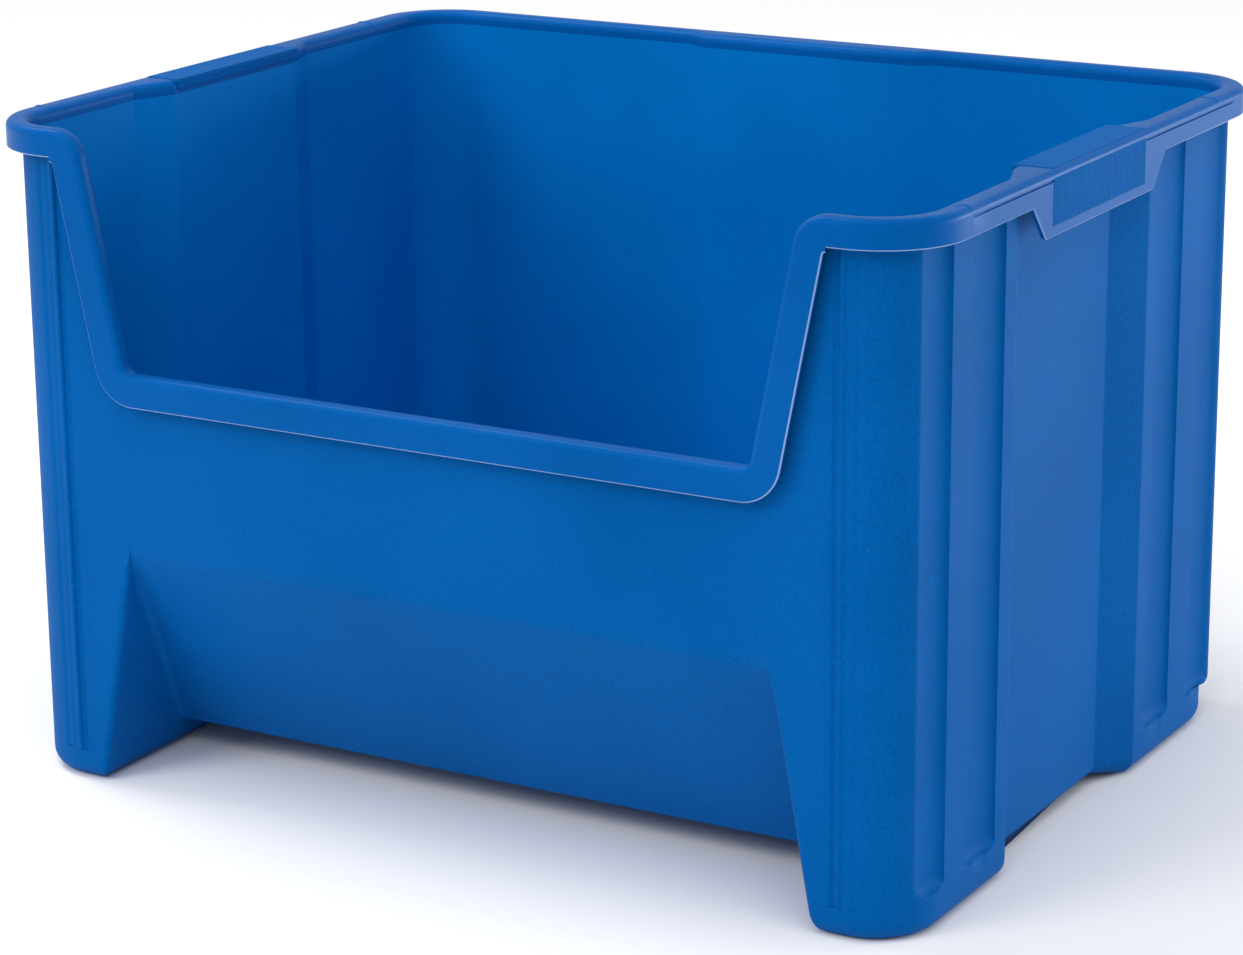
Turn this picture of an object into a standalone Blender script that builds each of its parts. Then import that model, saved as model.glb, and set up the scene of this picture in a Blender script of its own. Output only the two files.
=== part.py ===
"""Stackable storage bin with a low hopper front.

The real bin is one injection moulding. Each wall, column, foot, rim length, lip and grip of
that moulding is a separate closed solid here, and neighbours keep a 0.3 mm gap.
Units are metres. X is the width, +Y points to the back, +Z up, and the feet stand on Z = 0.
"""
import math

import bmesh
import bpy
from mathutils import Matrix, Vector

# Driving dimensions
WIDTH = 0.505            # over the rim skirts, left to right
DEPTH = 0.395            # over the rim skirts, front to back
HEIGHT = 0.3295          # feet to rim crest
WALL = 0.003             # moulded wall thickness
GAP = 0.0003             # left between two solids that touch on the real bin

# Rim and lip
OVERHANG = 0.0075        # rim skirt beyond the wall face
SKIRT = 0.0135           # height of the rim skirt
RIM_SHEET = 0.0027       # thickness of the rim and of the front lip
RIM_EDGE = 0.0035        # rounding of the rim's outer edge
CORNER = 0.040           # plan radius of the rim at each corner
LIP_FACE = 0.0157        # width of the lip's front face
LIP_SHOULDER = 0.0167    # rounding where the lip turns into the rim

# Front opening and hopper recess
OPENING_LOW = 0.2141     # height of the opening's lower edge
OPENING_HALF_LOW = 0.1685
OPENING_LEAN = 0.204     # outward run of the opening's sides for each unit of rise
OPENING_CORNER = 0.005
CREASE_HEIGHT = 0.1225   # where the front wall folds back into the hopper recess
CREASE_HALF = 0.1750
RECESS_BACK = 0.062      # how far the recess reaches behind the front wall at the floor
FLOOR_HEIGHT = 0.0155    # underside of the floor above the feet

# Columns, feet and side panels
FOOT_HEIGHT = 0.0195
FOOT_HALF = 0.201        # inner side of each foot at the ground
REAR_FOOT_INSET = 0.012  # how far the rear feet stand in front of the back wall
PANEL_BOTTOM = 0.0065    # lower edge of the side panels above the feet
COLUMN_SHEET = 0.0085    # thickness of a column at its crests
FLUTE_DEPTH = 0.006
FLUTE_HALF = 0.0172      # half width of a flute
FLUTE_REACH = 0.1045     # flute centre from the middle of the side
SIDE_MIDDLE = -0.0115    # middle of the side features, measured from the bin's centre
PANEL_REACH = 0.076      # half length of the recessed side panel, slopes included
PANEL_SLOPE = 0.023
PANEL_DEPTH = 0.011
BACK_STEP_X = 0.067      # vertical steps of the back wall
BACK_STEP_RUN = 0.006
BACK_STEP_DEPTH = 0.006

# Grips
GRIP_DROP = 0.030        # depth of the grip skirt below the rim crest
GRIP_TOP_HALF = 0.0755
GRIP_LOW_HALF = 0.0615
PAD_HALF = 0.052
PAD_WIDTH = 0.020
PAD_HEIGHT = 0.0015
PAD_MARGIN = 0.0025      # grip ledge beyond the side panel's inner face
BEAD_RADIUS = 0.0016

# Worked out from the above
WALL_X = WIDTH / 2 - OVERHANG
FRONT_Y = -DEPTH / 2 + OVERHANG
BACK_Y = DEPTH / 2 - OVERHANG
WALL_CORNER = CORNER - OVERHANG
TANGENT_X = WALL_X - WALL_CORNER
WALL_TOP = HEIGHT - RIM_SHEET - GAP
PANEL_FRONT = SIDE_MIDDLE - PANEL_REACH
PANEL_REAR = SIDE_MIDDLE + PANEL_REACH
RIM_INNER = OVERHANG + WALL
PAD_INNER_X = WALL_X - PANEL_DEPTH - WALL - PAD_MARGIN
CHEEK_LEAN = (FOOT_HALF - CREASE_HALF) / CREASE_HEIGHT

BLUE = (0.0, 0.100, 0.392)
ARC_STEPS = 8            # facets on each quarter round in plan
EDGE_STEPS = 3           # facets on the rim's outer edge
SMOOTH_ANGLE = 35        # edges sharper than this stay creased, in degrees
WALL_ROUGHNESS = 0.55
RIM_ROUGHNESS = 0.5
GRIP_ROUGHNESS = 0.6

collection = None


def clear_scene():
    for item in list(bpy.data.objects):
        bpy.data.objects.remove(item, do_unlink=True)


def add_material(item, colour, roughness):
    material = bpy.data.materials.new(item.name + "_plastic")
    material.use_nodes = True
    shader = material.node_tree.nodes["Principled BSDF"]
    shader.inputs["Base Color"].default_value = (*colour, 1.0)
    shader.inputs["Roughness"].default_value = roughness
    shader.inputs["Metallic"].default_value = 0.0
    item.data.materials.append(material)


def link(name, data, roughness, colour=BLUE):
    item = bpy.data.objects.new(name, data)
    collection.objects.link(item)
    add_material(item, colour, roughness)
    return item


def arc(centre_x, centre_y, radius_x, radius_y, start, end, steps=ARC_STEPS):
    """Points of an axis-aligned elliptic arc, both ends included, angles in degrees."""
    points = []
    for step in range(steps + 1):
        angle = math.radians(start + (end - start) * step / steps)
        points.append((centre_x + radius_x * math.cos(angle), centre_y + radius_y * math.sin(angle)))
    return points


def mirrored(points):
    return [(-x, y) for x, y in points]


def flat_plate(name, outline, thickness, placement, roughness=WALL_ROUGHNESS):
    """A closed flat outline, filled and extruded about its own plane, then placed."""
    curve = bpy.data.curves.new(name, "CURVE")
    curve.dimensions = "2D"
    curve.fill_mode = "BOTH"
    curve.extrude = thickness / 2
    curve.resolution_u = 1
    spline = curve.splines.new("POLY")
    spline.points.add(len(outline) - 1)
    for point, (x, y) in zip(spline.points, outline):
        point.co = (x, y, 0.0, 1.0)
    spline.use_cyclic_u = True
    item = link(name, curve, roughness)
    item.matrix_world = placement
    return item


def prism(name, outline, bottom, top, roughness=WALL_ROUGHNESS):
    """A plan outline standing from one height to another."""
    middle = Matrix.Translation((0.0, 0.0, (bottom + top) / 2))
    return flat_plate(name, outline, top - bottom, middle, roughness)


def upright_plate(name, outline, outer_y, thickness):
    """An outline in X and Z, with its outer face towards the front at outer_y."""
    turn = Matrix.Rotation(math.radians(90), 4, "X")
    place = Matrix.Translation((0.0, outer_y + thickness / 2, 0.0))
    return flat_plate(name, outline, thickness, place @ turn)


def sheet(name, section, moves, thickness, roughness=RIM_ROUGHNESS):
    """Sweeps an open section by straight and turning moves, then gives it thickness."""
    mesh = bpy.data.meshes.new(name)
    shape = bmesh.new()
    corners = [shape.verts.new(point) for point in section]
    edges = [shape.edges.new(pair) for pair in zip(corners, corners[1:])]
    for move in moves:
        if move[0] == "straight":
            grown = bmesh.ops.extrude_edge_only(shape, edges=edges)["geom"]
            fresh = [part for part in grown if isinstance(part, bmesh.types.BMVert)]
            bmesh.ops.translate(shape, verts=fresh, vec=Vector(move[1]))
            edges = [part for part in grown if isinstance(part, bmesh.types.BMEdge)]
        else:
            centre, axis, angle, steps = move[1:]
            grown = bmesh.ops.spin(
                shape, geom=edges, cent=centre, axis=axis, angle=angle, steps=steps, use_duplicate=False
            )["geom_last"]
            edges = [part for part in grown if isinstance(part, bmesh.types.BMEdge)]
    bmesh.ops.recalc_face_normals(shape, faces=shape.faces)
    shape.to_mesh(mesh)
    shape.free()
    mesh.shade_smooth()
    mesh.set_sharp_from_angle(angle=math.radians(SMOOTH_ANGLE))
    item = link(name, mesh, roughness)
    solid = item.modifiers.new("Thickness", "SOLIDIFY")
    solid.thickness = thickness
    solid.offset = 0.0
    solid.use_even_offset = True
    return item


def edge_profile(inner, drop, rounding=RIM_EDGE):
    """Centre line of a rim or lip: a ledge, a rounded outer edge and a skirt.

    Distances are (outward, downward) from the outer top corner of the finished sheet.
    """
    half = RIM_SHEET / 2
    bend = rounding - half
    points = [(-inner, half)]
    for step in range(EDGE_STEPS + 1):
        angle = math.radians(90 * (1 - step / EDGE_STEPS))
        points.append((-rounding + bend * math.cos(angle), rounding - bend * math.sin(angle)))
    points.append((-half, drop))
    return points


# Walls

def column_outline(front):
    """Plan of a right-hand column: corner arc, crests and one flute outside, plain inside."""
    corner_y = FRONT_Y + WALL_CORNER
    flute = SIDE_MIDDLE - FLUTE_REACH
    end = PANEL_FRONT - GAP / 2
    inner_x = WALL_X - COLUMN_SHEET
    outside = arc(TANGENT_X, corner_y, WALL_CORNER, WALL_CORNER, -90, 0)
    flute_centre = (WALL_X, flute)
    groove = arc(*flute_centre, FLUTE_DEPTH, FLUTE_HALF, 270, 90)
    inside = arc(TANGENT_X, corner_y, inner_x - TANGENT_X, WALL_CORNER - WALL, 0, -90)
    outline = outside + groove + [(WALL_X, end), (inner_x, end)] + inside
    if front:
        return outline
    shift = 2 * SIDE_MIDDLE
    rear = [(x, shift - y) for x, y in groove + [(WALL_X, end), (inner_x, end)]]
    rear_corner = BACK_Y - WALL_CORNER
    outside = arc(TANGENT_X, rear_corner, WALL_CORNER, WALL_CORNER, 90, 0)
    inside = arc(TANGENT_X, rear_corner, inner_x - TANGENT_X, WALL_CORNER - WALL, 0, 90)
    return outside + rear + inside


def foot_outline(front):
    """Plan of a right-hand foot block. The rear ones are set in so that bins stack."""
    inner_x = WALL_X - COLUMN_SHEET
    end = PANEL_FRONT - GAP / 2
    if not front:
        end = 2 * SIDE_MIDDLE - end
    corner_y = FRONT_Y + WALL_CORNER if front else BACK_Y - REAR_FOOT_INSET - WALL_CORNER
    turn = -90 if front else 90
    outside = arc(TANGENT_X, corner_y, WALL_CORNER, WALL_CORNER, turn, 0)
    inside = arc(TANGENT_X, corner_y, inner_x - TANGENT_X, WALL_CORNER - WALL, 0, turn)
    return outside + [(WALL_X, end), (inner_x, end)] + inside


def side_panel_line(offset):
    """Plan of the recessed right-hand side panel's face, moved inwards by offset."""
    crest = WALL_X - offset
    low = crest - PANEL_DEPTH
    return [
        (crest, PANEL_FRONT + GAP / 2),
        (low, PANEL_FRONT + PANEL_SLOPE),
        (low, PANEL_REAR - PANEL_SLOPE),
        (crest, PANEL_REAR - GAP / 2),
    ]


def build_side_walls():
    for side, flip in (("right", False), ("left", True)):
        pieces = [
            ("front_column", column_outline(True), FOOT_HEIGHT + GAP, WALL_TOP),
            ("rear_column", column_outline(False), FOOT_HEIGHT + GAP, WALL_TOP),
            ("front_foot", foot_outline(True), 0.0, FOOT_HEIGHT),
            ("rear_foot", foot_outline(False), 0.0, FOOT_HEIGHT),
            ("side_panel", side_panel_line(0.0) + side_panel_line(WALL)[::-1], PANEL_BOTTOM, WALL_TOP),
        ]
        for kind, outline, bottom, top in pieces:
            if flip:
                outline = mirrored(outline)
            prism(side + "_" + kind, outline, bottom, top)


def build_back_wall():
    end = TANGENT_X - GAP
    inner = BACK_Y - BACK_STEP_DEPTH
    face = [
        (-end, BACK_Y),
        (-BACK_STEP_X - BACK_STEP_RUN / 2, BACK_Y),
        (-BACK_STEP_X + BACK_STEP_RUN / 2, inner),
        (BACK_STEP_X - BACK_STEP_RUN / 2, inner),
        (BACK_STEP_X + BACK_STEP_RUN / 2, BACK_Y),
        (end, BACK_Y),
    ]
    inside = [(x, y - WALL) for x, y in face[::-1]]
    prism("back_wall", face + inside, FLOOR_HEIGHT, WALL_TOP)


def opening_half(height):
    return OPENING_HALF_LOW + (height - OPENING_LOW) * OPENING_LEAN


def build_front_wall():
    """The sheet around the front opening, cut back to clear the lip's own thickness."""
    clear = RIM_SHEET + GAP
    lean = math.degrees(math.atan(OPENING_LEAN))
    end = TANGENT_X - GAP
    low_radius = OPENING_CORNER + clear
    high_radius = LIP_SHOULDER - clear
    low = arc(*lip_corner_centre(), low_radius, low_radius, -90, -lean)
    high = arc(*lip_shoulder_centre(), high_radius, high_radius, 180 - lean, 90)
    half = low + high + [(end, WALL_TOP), (end, CREASE_HEIGHT + GAP)]
    outline = half + mirrored(half)[::-1]
    upright_plate("front_wall", outline, FRONT_Y, WALL)


def build_hopper_recess():
    foot_top = CREASE_HEIGHT - GAP
    for side, sign in (("right", 1), ("left", -1)):
        corners = [
            (FOOT_HALF - CHEEK_LEAN * (FOOT_HEIGHT + GAP), FOOT_HEIGHT + GAP),
            (TANGENT_X - GAP, FOOT_HEIGHT + GAP),
            (TANGENT_X - GAP, foot_top),
            (FOOT_HALF - CHEEK_LEAN * foot_top, foot_top),
        ]
        low = [
            (FOOT_HALF, 0.0),
            (TANGENT_X - GAP, 0.0),
            (TANGENT_X - GAP, FOOT_HEIGHT),
            (FOOT_HALF - CHEEK_LEAN * FOOT_HEIGHT, FOOT_HEIGHT),
        ]
        upright_plate(side + "_leg_front", [(sign * x, z) for x, z in corners], FRONT_Y, WALL)
        upright_plate(side + "_toe", [(sign * x, z) for x, z in low], FRONT_Y, WALL)
        build_cheek(side, sign)
    slope_drop = CREASE_HEIGHT - FLOOR_HEIGHT - WALL
    slope = math.hypot(RECESS_BACK, slope_drop)
    margin = WALL + GAP
    top_half = CREASE_HALF - margin
    low_half = FOOT_HALF - CHEEK_LEAN * (FLOOR_HEIGHT + WALL) - margin
    lean = math.atan2(RECESS_BACK, slope_drop)
    top = -WALL * math.tan(lean)
    outline = [(-top_half, top), (top_half, top), (low_half, -slope), (-low_half, -slope)]
    turn = Matrix.Rotation(math.radians(90) + lean, 4, "X")
    inward = Vector((0.0, math.cos(lean), math.sin(lean))) * (WALL / 2)
    place = Matrix.Translation(Vector((0.0, FRONT_Y, CREASE_HEIGHT - GAP)) + inward)
    flat_plate("recess_panel", outline, WALL, place @ turn)


def build_cheek(side, sign):
    """Triangular side of the hopper recess, leaning like the foot's inner edge."""
    rise = CREASE_HEIGHT - GAP - FLOOR_HEIGHT
    length = math.hypot(rise, rise * CHEEK_LEAN)
    start = FRONT_Y + WALL + GAP
    reach = RECESS_BACK
    outline = [(start, 0.0), (start + reach - WALL, 0.0), (start, length * (1 - WALL / reach))]
    lean = math.atan(CHEEK_LEAN)
    along = Vector((0.0, 1.0, 0.0))
    up = Vector((-sign * math.sin(lean), 0.0, math.cos(lean)))
    out = along.cross(up)
    axes = Matrix((along, up, out)).transposed().to_4x4()
    low_x = sign * (FOOT_HALF - CHEEK_LEAN * FLOOR_HEIGHT - WALL / 2)
    flat_plate(side + "_recess_cheek", outline, WALL, Matrix.Translation((low_x, 0.0, FLOOR_HEIGHT)) @ axes)


def build_floor():
    rear = BACK_Y - WALL - BACK_STEP_DEPTH - GAP
    front = FRONT_Y + RECESS_BACK + WALL
    half = FOOT_HALF - WALL - GAP
    outline = [(-half, front), (half, front), (half, rear), (-half, rear)]
    prism("floor_panel", outline, FLOOR_HEIGHT, FLOOR_HEIGHT + WALL)
    start = FRONT_Y + WALL_CORNER / 2
    finish = BACK_Y - REAR_FOOT_INSET - WALL - WALL_CORNER / 2
    low = PANEL_BOTTOM + WALL / 2
    outer = WALL_X - PANEL_DEPTH - WALL - GAP
    inner = FOOT_HALF - WALL / 2
    for side, sign in (("right", 1), ("left", -1)):
        section = [
            (sign * outer, start, low),
            (sign * inner, start, low),
            (sign * inner, start, FLOOR_HEIGHT - GAP),
        ]
        sheet(side + "_runner", section, [("straight", (0.0, finish - start, 0.0))], WALL)


# Rim

def rim_section(origin, outward, inner, drop):
    """The rim's section standing at origin, a point on the outer top edge."""
    base = Vector(origin)
    direction = Vector(outward)
    down = Vector((0.0, 0.0, -1.0))
    return [base + direction * u + down * v for u, v in edge_profile(inner, drop)]


def build_rim():
    corner_x = WIDTH / 2 - CORNER
    rear_y = DEPTH / 2 - CORNER
    back = rim_section((-corner_x + GAP, DEPTH / 2, HEIGHT), (0, 1, 0), RIM_INNER, SKIRT)
    sheet("back_rim", back, [("straight", (2 * (corner_x - GAP), 0, 0))], RIM_SHEET)
    quarter = math.radians(90)
    lengths = [
        ("front_rim", -rear_y + GAP, SIDE_MIDDLE - GRIP_TOP_HALF - GAP),
        ("rear_rim", SIDE_MIDDLE + GRIP_TOP_HALF + GAP, rear_y - GAP),
    ]
    for side, sign in (("right", 1), ("left", -1)):
        edge = sign * WIDTH / 2
        for kind, start, finish in lengths:
            section = rim_section((edge, start, HEIGHT), (sign, 0, 0), RIM_INNER, SKIRT)
            sheet(side + "_" + kind, section, [("straight", (0, finish - start, 0))], RIM_SHEET)
        for kind, centre_y, turn in (("front_corner_rim", -rear_y, -sign), ("rear_corner_rim", rear_y, sign)):
            centre = (sign * corner_x, centre_y, 0.0)
            section = rim_section((edge, centre_y, HEIGHT), (sign, 0, 0), RIM_INNER, SKIRT)
            sheet(side + "_" + kind, section, [("turn", centre, (0, 0, 1), turn * quarter, ARC_STEPS)], RIM_SHEET)


def build_grips():
    """A wider rim length over each recessed panel, with a deep tapered skirt and a raised pad."""
    half = RIM_SHEET / 2
    inner = WIDTH / 2 - PAD_INNER_X
    stations = [
        (-GRIP_TOP_HALF, SKIRT),
        (-GRIP_LOW_HALF, GRIP_DROP),
        (GRIP_LOW_HALF, GRIP_DROP),
        (GRIP_TOP_HALF, SKIRT),
    ]
    for side, sign in (("right", 1), ("left", -1)):
        edge = sign * WIDTH / 2
        start = SIDE_MIDDLE + stations[0][0]
        section = rim_section((edge, start, HEIGHT), (sign, 0, 0), inner, SKIRT)
        moves = []
        for (here, _), (there, _) in zip(stations, stations[1:]):
            moves.append(("straight", (0, there - here, 0)))
        grip = sheet(side + "_grip", section, moves, RIM_SHEET, GRIP_ROUGHNESS)
        for vertex in grip.data.vertices:
            if vertex.co.z < HEIGHT - SKIRT + half:
                reach = abs(vertex.co.y - SIDE_MIDDLE)
                if reach < (GRIP_LOW_HALF + GRIP_TOP_HALF) / 2:
                    vertex.co.z = HEIGHT - GRIP_DROP
        pad_x = sign * (WIDTH / 2 - RIM_EDGE - PAD_WIDTH / 2)
        mesh = bpy.data.meshes.new(side + "_stacking_pad")
        shape = bmesh.new()
        bmesh.ops.create_cube(shape, size=1.0)
        bmesh.ops.scale(shape, verts=shape.verts, vec=(PAD_WIDTH, 2 * PAD_HALF, PAD_HEIGHT - GAP))
        shape.to_mesh(mesh)
        shape.free()
        pad = link(side + "_stacking_pad", mesh, GRIP_ROUGHNESS)
        pad.location = (pad_x, SIDE_MIDDLE, HEIGHT + (PAD_HEIGHT + GAP) / 2)


# Front lip

def lip_corner_centre():
    """Centre of the opening's lower right corner arc, in X and Z."""
    lean = math.atan(OPENING_LEAN)
    shorten = OPENING_CORNER * math.tan((math.radians(90) - lean) / 2)
    return OPENING_HALF_LOW - shorten, OPENING_LOW + OPENING_CORNER


def lip_shoulder_centre():
    """Centre of the arc that turns the opening's right edge into the rim, in X and Z."""
    height = HEIGHT - LIP_SHOULDER
    return opening_half(height) + LIP_SHOULDER / math.cos(math.atan(OPENING_LEAN)), height


def lip_section(point, angle):
    """The lip's section at a point of the opening's edge.

    angle is the direction away from the opening, in the X and Z plane.
    """
    away = Vector((math.cos(angle), 0.0, math.sin(angle)))
    forward = Vector((0.0, -1.0, 0.0))
    front = Vector((point[0], -DEPTH / 2, point[1]))
    section = []
    for back, along in edge_profile(RIM_INNER, LIP_FACE):
        section.append(front + away * along + forward * back)
    return section


def build_front_lip():
    """The rolled lip round the opening, from one front corner of the rim down and up to the other."""
    centre_x, centre_z = lip_corner_centre()
    lean = math.atan(OPENING_LEAN)
    down = math.radians(-90)
    sweep = math.radians(90) - lean
    low = lip_section((-centre_x + GAP, OPENING_LOW), down)
    sheet("lower_lip", low, [("straight", (2 * (centre_x - GAP), 0, 0))], RIM_SHEET)
    shoulder_x, shoulder_z = lip_shoulder_centre()
    along_x = math.sin(lean)
    along_z = math.cos(lean)
    start_x = centre_x + OPENING_CORNER * along_z + GAP * along_x
    start_z = centre_z - OPENING_CORNER * along_x + GAP * along_z
    finish_z = shoulder_z + LIP_SHOULDER * along_x - GAP * along_z
    length = (finish_z - start_z) / along_z
    for side, sign in (("right", 1), ("left", -1)):
        section = lip_section((sign * centre_x, OPENING_LOW), down)
        centre = (sign * centre_x, 0.0, centre_z)
        turn = ("turn", centre, (0, 1, 0), -sign * sweep, ARC_STEPS)
        sheet(side + "_lip_corner", section, [turn], RIM_SHEET)
        away = -lean if sign > 0 else math.pi + lean
        section = lip_section((sign * start_x, start_z), away)
        run = (sign * length * along_x, 0.0, length * along_z)
        sheet(side + "_lip_side", section, [("straight", run)], RIM_SHEET)
        section = lip_section((sign * (TANGENT_X - GAP), HEIGHT), down)
        across = (sign * (shoulder_x - TANGENT_X + GAP), 0.0, 0.0)
        centre = (sign * shoulder_x, 0.0, shoulder_z)
        turn = ("turn", centre, (0, 1, 0), -sign * sweep, ARC_STEPS)
        sheet(side + "_lip_shoulder", section, [("straight", across), turn], RIM_SHEET)


def build_beads():
    """A thin half-round rib down each front column."""
    bottom = FOOT_HEIGHT + GAP
    top = HEIGHT - SKIRT - GAP
    for side, sign in (("right", 1), ("left", -1)):
        centre_x = sign * (TANGENT_X + BEAD_RADIUS + GAP)
        outline = arc(centre_x, FRONT_Y - 2 * GAP, BEAD_RADIUS, BEAD_RADIUS, 180, 360)
        prism(side + "_bead", outline, bottom, top)


def main():
    global collection
    clear_scene()
    collection = bpy.data.collections.new("storage_bin")
    bpy.context.scene.collection.children.link(collection)
    build_side_walls()
    build_back_wall()
    build_front_wall()
    build_hopper_recess()
    build_floor()
    build_rim()
    build_grips()
    build_front_lip()
    build_beads()


main()
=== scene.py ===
"""Visual model of a stackable storage bin with a low hopper front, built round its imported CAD.

The bin is one moulding. Its skin is lofted here from plan outlines, one for each height, and the
rolled lip round the front opening is swept along the opening's edge with the rim's own section.
Units are metres, +Z is up and the opening faces -Y.
"""
import math

import bmesh
import bpy
from mathutils import Matrix, Vector


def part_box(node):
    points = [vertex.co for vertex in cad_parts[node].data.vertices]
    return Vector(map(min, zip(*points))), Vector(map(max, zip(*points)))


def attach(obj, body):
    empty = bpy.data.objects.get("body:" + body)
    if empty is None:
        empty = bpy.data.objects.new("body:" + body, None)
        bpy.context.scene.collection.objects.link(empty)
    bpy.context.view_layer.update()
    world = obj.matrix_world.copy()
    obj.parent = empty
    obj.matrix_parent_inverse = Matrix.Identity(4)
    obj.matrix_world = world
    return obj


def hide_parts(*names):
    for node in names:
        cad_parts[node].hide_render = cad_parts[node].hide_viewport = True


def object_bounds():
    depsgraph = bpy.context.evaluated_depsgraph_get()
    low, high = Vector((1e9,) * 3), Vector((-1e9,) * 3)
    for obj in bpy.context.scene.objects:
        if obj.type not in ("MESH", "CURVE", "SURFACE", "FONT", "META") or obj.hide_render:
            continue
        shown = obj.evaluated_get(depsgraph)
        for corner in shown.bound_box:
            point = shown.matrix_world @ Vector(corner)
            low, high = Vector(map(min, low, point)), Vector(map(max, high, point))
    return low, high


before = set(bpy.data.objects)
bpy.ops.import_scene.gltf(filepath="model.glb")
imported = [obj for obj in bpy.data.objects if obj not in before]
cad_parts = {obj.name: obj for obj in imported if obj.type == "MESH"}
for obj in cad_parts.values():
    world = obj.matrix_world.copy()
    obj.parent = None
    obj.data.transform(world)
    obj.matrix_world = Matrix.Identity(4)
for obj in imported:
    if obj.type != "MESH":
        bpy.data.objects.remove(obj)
CAD_LOW, CAD_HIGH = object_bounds()

# Sizes read from the CAD
HALF_WIDTH = CAD_HIGH.x
HALF_DEPTH = CAD_HIGH.y
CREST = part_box("back_rim")[1].z
WALL_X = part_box("right_front_column")[1].x
FRONT_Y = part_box("front_wall")[0].y
BACK_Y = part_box("back_wall")[1].y
TANGENT_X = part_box("back_rim")[1].x
FLOOR_LOW, FLOOR_TOP = (corner.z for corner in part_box("floor_panel"))
PAD_LOW, PAD_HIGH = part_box("right_stacking_pad")
GRIP_LOW, GRIP_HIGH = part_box("right_grip")
CREASE_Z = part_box("recess_panel")[1].z
PANEL_LOW, PANEL_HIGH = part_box("right_side_panel")
LEDGE_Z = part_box("right_rear_foot")[1].z
REAR_SET_IN = BACK_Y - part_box("right_rear_foot")[1].y
FOOT_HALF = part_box("right_toe")[0].x

# Section of the wall and the rim
OVERHANG = HALF_WIDTH - WALL_X
WALL = 0.003
COLUMN_SHEET = 0.0055
THIN = COLUMN_SHEET - WALL
SKIRT = 0.0135
SHEET = 0.0027
EDGE = 0.0035
ROLL = 0.0042
ROLL_JOIN = 0.007
PANEL_DIP = 0.003
CORNER = WALL_X - TANGENT_X
RIM_INNER = OVERHANG + WALL

# Opening
OPENING_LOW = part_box("lower_lip")[1].z
OPENING_HALF = 0.1685
OPENING_LEAN = 0.204
OPENING_CORNER = 0.005
SHOULDER = 0.0167
LIP_FACE = 0.0157
SPLIT_Z = 0.196
POST_X = 0.2062

# Side pattern
SIDE_MIDDLE = (PANEL_LOW.y + PANEL_HIGH.y) / 2
PANEL_REACH = (PANEL_HIGH.y - PANEL_LOW.y) / 2
PANEL_SLOPE = 0.023
PANEL_DEPTH = 0.011
PANEL_ROUND = 0.003
FLUTE_DEPTH = 0.0048
FLUTE_HALF = 0.0172
FLUTE_REACH = (0.1040, 0.1585)
FLUTE_END = LEDGE_Z + 0.002
FLUTE_RUN = 0.007
FLUTE_BOW = 0.003
BACK_STEP_X = 0.067
BACK_STEP = 0.006
BACK_STEP_RUN = 0.010

# Bead down the front corner, and the groove on each side of it. Places are measured along the
# front from where the corner's arc starts, and each groove is its place, half width and depth.
BEAD_PLACE = -0.0013
BEAD_HALF = 0.0015
BEAD_HEIGHT = 0.0013
BEAD_FOOT = 0.0135
BEAD_FADE = 0.003
BEAD_ZONE = 0.012
GROOVES = ((-0.0043, 0.0021, 0.0008), (0.0062, 0.0022, 0.0006))

# Feet and recess
CREASE_HALF = 0.175
RECESS = 0.0706
CHEEK_LEAN = (FOOT_HALF - CREASE_HALF) / CREASE_Z
CREASE_SOFT = 0.0016
SOFT_LIMIT = 30
FLAT_DEPTH = 0.00003
FOOT_ROUND = 0.009
FOOT_PANEL_SHARE = 0.3
LEG_ROUND = 0.0035
LEG_MARGIN = 0.002
NOOK_ROUND = 0.004
ROUND_SHARE = 0.45
FLOOR_JOIN = 0.006

# Ledge over the rear feet
LEDGE_SOFT = 0.0005
LEDGE_ROUND = 0.0015
LEDGE_KNEE = 0.0004

# Levels of the walls between the features
OUTER_LEVELS = (0.032, 0.045, 0.065, 0.085, 0.100)
OUTER_HIGH_LEVELS = (0.140, 0.165, SPLIT_Z)
UPPER_LEVEL = 0.25
INNER_LEVELS = (0.03, 0.05, 0.08, 0.105)
INNER_HIGH_LEVELS = (0.15, SPLIT_Z)
FLUTE_FOOT = 0.009
FLUTE_FOOT_STEPS = 9
FLUTE_FOOT_CROWDING = 1.3

# Small marks on the rim. A groove row is its drop below the crest's rounding and its share of the depth.
CHAMFER = 0.0006
GROOVE_DEPTH = 0.0010
GROOVE_ROWS = ((0.0004, 0.0), (0.0007, 0.8), (0.0013, 0.8), (0.0016, 0.0))
GROOVE_PAST_SEAM = 0.020
GROOVE_FADE = 0.003
SEAM_RISE = 0.0005
SEAM_HALF = 0.0013
SEAM_ACROSS = 0.030
SEAMS = (-0.1503, 0.1310)

# Fineness of the mesh
ARC_STEPS = 44
REAR_ARC_STEPS = 24
SMALL_ARC_STEPS = 6
ROLL_STEPS = 5
EDGE_STEPS = 7
FOOT_STEPS = 7
LIP_STEPS = 12
FLUTE_STEPS = 12
CREASE_STEPS = 12
INNER_CREASE_STEPS = 7
BEAD_SPAN = 18
SLOPE_SPAN = 20
PANEL_SPAN = 26
REAR_SPAN = 8
BACK_SPAN = 3
RECESS_SPAN = 6
CHEEK_SPAN = 5
TOE_SPAN = 4
FOOT_SPAN = 12
SEAM_PITCH = 0.0006
STRETCH_END = 0.0006
STRETCH_MARGIN = 0.0004
LEAST_PITCH = 0.00005
STRAIGHT_TURN = 0.001
STRAIGHT_PITCH = 0.0004
NEAR = 0.0001
MERGE_DISTANCE = 0.00002
LEAST_EDGE = 0.000005
SHARP_ANGLE = math.radians(32)

# Order of the skin's materials. The lining is the outer plastic painted lighter: painted light standing in
# for the light the inside of the bin lacks.
# The fourth material is a pale blue painted highlight on the bottom chamfers of the skirts and the lip,
# standing in for the bright line the light puts there.
GRAINED, SATIN, PAINTED_LIGHT_LINING, PAINTED_EDGE_HIGHLIGHT = range(4)

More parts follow.
